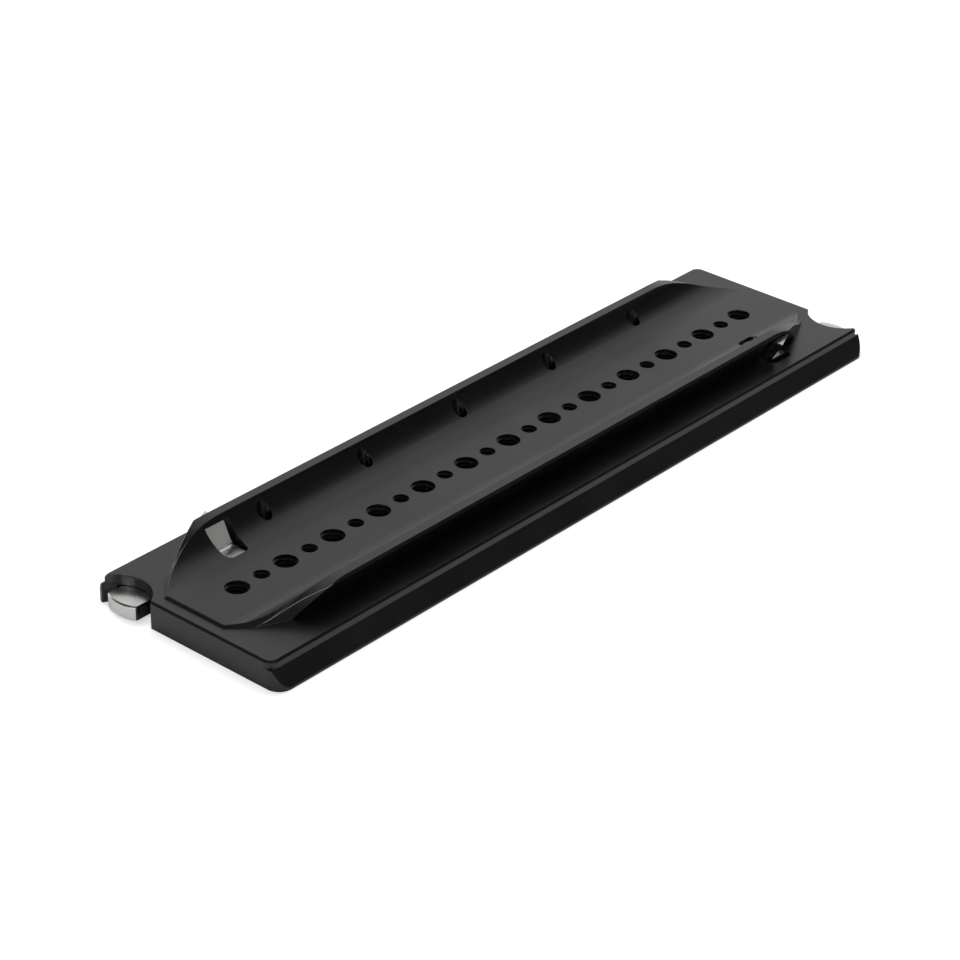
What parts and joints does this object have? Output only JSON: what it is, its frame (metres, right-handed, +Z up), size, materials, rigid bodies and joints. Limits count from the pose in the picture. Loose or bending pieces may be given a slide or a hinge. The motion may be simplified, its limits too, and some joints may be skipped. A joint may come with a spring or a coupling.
{
  "type": "dovetail plate",
  "caption": "Long anodised camera base plate: dovetail rail with a grooved top and tapped holes, wider dovetail foot, and a sprung steel thumb catch at each end.",
  "frame": {"origin": "middle of the plate's underside", "axes": "+X along the plate, +Y across it, +Z up through the rail's top"},
  "size_m": [0.3604, 0.0956, 0.0224],
  "materials": {
    "plate": "black anodised, fine blasted grain",
    "catch": "brushed stainless steel",
    "screw": "black oxide steel",
    "spring": "plain spring steel"
  },
  "bodies": {
    "plate_body": {"plate": "plate", "front_catch_pivot": "screw", "rear_catch_pivot": "screw", "front_catch_spring": "spring", "rear_catch_spring": "spring"},
    "front_catch_body": {"front_catch": "catch"},
    "rear_catch_body": {"rear_catch": "catch"}
  },
  "joints": [
    {"name": "front_catch_swing", "type": "hinge", "parent": "plate_body", "child": "front_catch_body", "pos_m": [-0.168, 0.017, 0.0039], "axis": [0, 0, -1], "range_deg": [0, 7.5], "stiffness_Nm_per_rad": 0.3, "springref_deg": -20.05, "deforming": ["front_catch_spring"]},
    {"name": "rear_catch_swing", "type": "hinge", "parent": "plate_body", "child": "rear_catch_body", "pos_m": [0.168, -0.017, 0.0039], "axis": [0, 0, -1], "range_deg": [0, 7.5], "stiffness_Nm_per_rad": 0.3, "springref_deg": -20.05, "deforming": ["rear_catch_spring"]}
  ]
}
